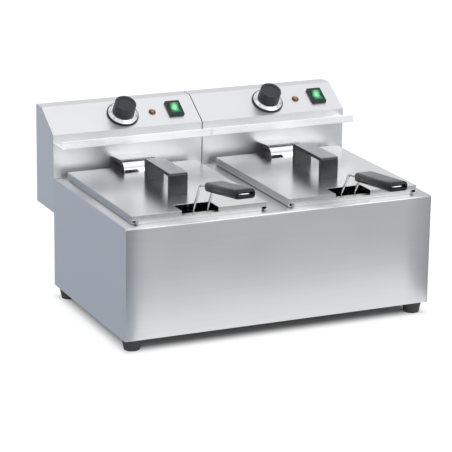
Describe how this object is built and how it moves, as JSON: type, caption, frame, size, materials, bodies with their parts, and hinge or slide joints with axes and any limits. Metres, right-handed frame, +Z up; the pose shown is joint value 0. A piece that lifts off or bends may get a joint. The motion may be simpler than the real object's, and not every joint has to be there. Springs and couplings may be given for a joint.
{
  "type": "deep fryer",
  "caption": "Countertop deep fryer with lift-out tanks side by side, each with a lift-off control head, a basket with a front grip and a notched lid with a bridge handle.",
  "frame": {"origin": "middle of the whole fryer in plan, on the plane the feet stand on", "axes": "+X to the right as the user faces the front, +Y to the rear towards the control heads, +Z up"},
  "size_m": [0.55, 0.5584, 0.3339],
  "materials": {
    "cabinet_steel": "fine horizontal brushing, satin",
    "lid_steel": "fine brushing, satin",
    "tank_steel": "smooth drawn sheet",
    "polished_steel": "polished",
    "chrome_wire": "bright plated wire",
    "handle_plastic": "fine satin grain",
    "black_nylon": "satin",
    "foot_rubber": "matt",
    "plated_screw": "zinc plated",
    "element_sheath": "heat-darkened steel",
    "bulb_copper": "drawn copper",
    "switch_gear": "moulded",
    "terminal_ceramic": "glazed",
    "dial_silver": "satin anodised with small marks",
    "amber_lens": "clear amber",
    "green_lens": "clear green, lit"
  },
  "bodies": {
    "cabinet": {"outer_casing": "cabinet_steel", "base_plate": "cabinet_steel", "feet": "foot_rubber", "foot_screws": "plated_screw", "hanging_studs": "plated_screw"},
    "left_tank": {"left_tank": "tank_steel"},
    "left_head": {"left_head_casing": "cabinet_steel", "left_head_back": "cabinet_steel", "left_back_screws": "plated_screw", "left_cable_gland": "black_nylon", "left_hanging_rail": "cabinet_steel", "left_element_hood": "polished_steel", "left_heating_element": "element_sheath", "left_element_clamps": "tank_steel", "left_sensor_bulbs": "bulb_copper", "left_thermostat": "switch_gear", "left_limit_cutout": "switch_gear", "left_terminal_block": "terminal_ceramic", "left_dial_base": "black_nylon", "left_pilot_lamp": "amber_lens", "left_switch_body": "black_nylon"},
    "left_knob": {"left_knob": "handle_plastic", "left_dial_ring": "dial_silver", "left_knob_shaft": "plated_screw"},
    "left_rocker": {"left_rocker": "green_lens"},
    "left_basket": {"left_basket_mesh": "chrome_wire", "left_basket_frame": "chrome_wire", "left_basket_handle": "chrome_wire", "left_basket_grip": "handle_plastic"},
    "left_lid": {"left_lid_panel": "lid_steel", "left_lid_handle": "handle_plastic", "left_lid_screws": "plated_screw"},
    "right_tank": {"right_tank": "tank_steel"},
    "right_head": {"right_head_casing": "cabinet_steel", "right_head_back": "cabinet_steel", "right_back_screws": "plated_screw", "right_cable_gland": "black_nylon", "right_hanging_rail": "cabinet_steel", "right_element_hood": "polished_steel", "right_heating_element": "element_sheath", "right_element_clamps": "tank_steel", "right_sensor_bulbs": "bulb_copper", "right_thermostat": "switch_gear", "right_limit_cutout": "switch_gear", "right_terminal_block": "terminal_ceramic", "right_dial_base": "black_nylon", "right_pilot_lamp": "amber_lens", "right_switch_body": "black_nylon"},
    "right_knob": {"right_knob": "handle_plastic", "right_dial_ring": "dial_silver", "right_knob_shaft": "plated_screw"},
    "right_rocker": {"right_rocker": "green_lens"},
    "right_basket": {"right_basket_mesh": "chrome_wire", "right_basket_frame": "chrome_wire", "right_basket_handle": "chrome_wire", "right_basket_grip": "handle_plastic"},
    "right_lid": {"right_lid_panel": "lid_steel", "right_lid_handle": "handle_plastic", "right_lid_screws": "plated_screw"}
  },
  "joints": [
    {"name": "left_tank_lift", "type": "slide", "parent": "cabinet", "child": "left_tank", "axis": [0, 0, 1], "range_m": [0, 0.16]},
    {"name": "left_head_lift", "type": "slide", "parent": "left_tank", "child": "left_head", "axis": [0, 0, 1], "range_m": [0, 0.15]},
    {"name": "left_basket_lift", "type": "slide", "parent": "left_head", "child": "left_basket", "axis": [0, 0, 1], "range_m": [0, 0.13]},
    {"name": "left_lid_lift", "type": "slide", "parent": "left_head", "child": "left_lid", "axis": [0, -0.5, 0.866], "range_m": [0, 0.455]},
    {"name": "left_knob_turn", "type": "hinge", "parent": "left_head", "child": "left_knob", "pos_m": [-0.1375, 0.21113, 0.30062], "axis": [0, 0.534, -0.8455], "range_deg": [0, 300]},
    {"name": "left_rocker_tip", "type": "hinge", "parent": "left_head", "child": "left_rocker", "pos_m": [-0.0405, 0.21335, 0.30084], "axis": [1, 0, 0], "range_deg": [-16, 0]},
    {"name": "right_tank_lift", "type": "slide", "parent": "cabinet", "child": "right_tank", "axis": [0, 0, 1], "range_m": [0, 0.16]},
    {"name": "right_head_lift", "type": "slide", "parent": "right_tank", "child": "right_head", "axis": [0, 0, 1], "range_m": [0, 0.15]},
    {"name": "right_basket_lift", "type": "slide", "parent": "right_head", "child": "right_basket", "axis": [0, 0, 1], "range_m": [0, 0.13]},
    {"name": "right_lid_lift", "type": "slide", "parent": "right_head", "child": "right_lid", "axis": [0, -0.5, 0.866], "range_m": [0, 0.455]},
    {"name": "right_knob_turn", "type": "hinge", "parent": "right_head", "child": "right_knob", "pos_m": [0.1375, 0.21113, 0.30062], "axis": [0, 0.534, -0.8455], "range_deg": [0, 300]},
    {"name": "right_rocker_tip", "type": "hinge", "parent": "right_head", "child": "right_rocker", "pos_m": [0.2345, 0.21335, 0.30084], "axis": [1, 0, 0], "range_deg": [-16, 0]}
  ],
  "couplings": [
    {"joint": "left_lid_lift", "follows": "left_basket_lift", "ratio": 3.5},
    {"joint": "right_lid_lift", "follows": "right_basket_lift", "ratio": 3.5}
  ]
}
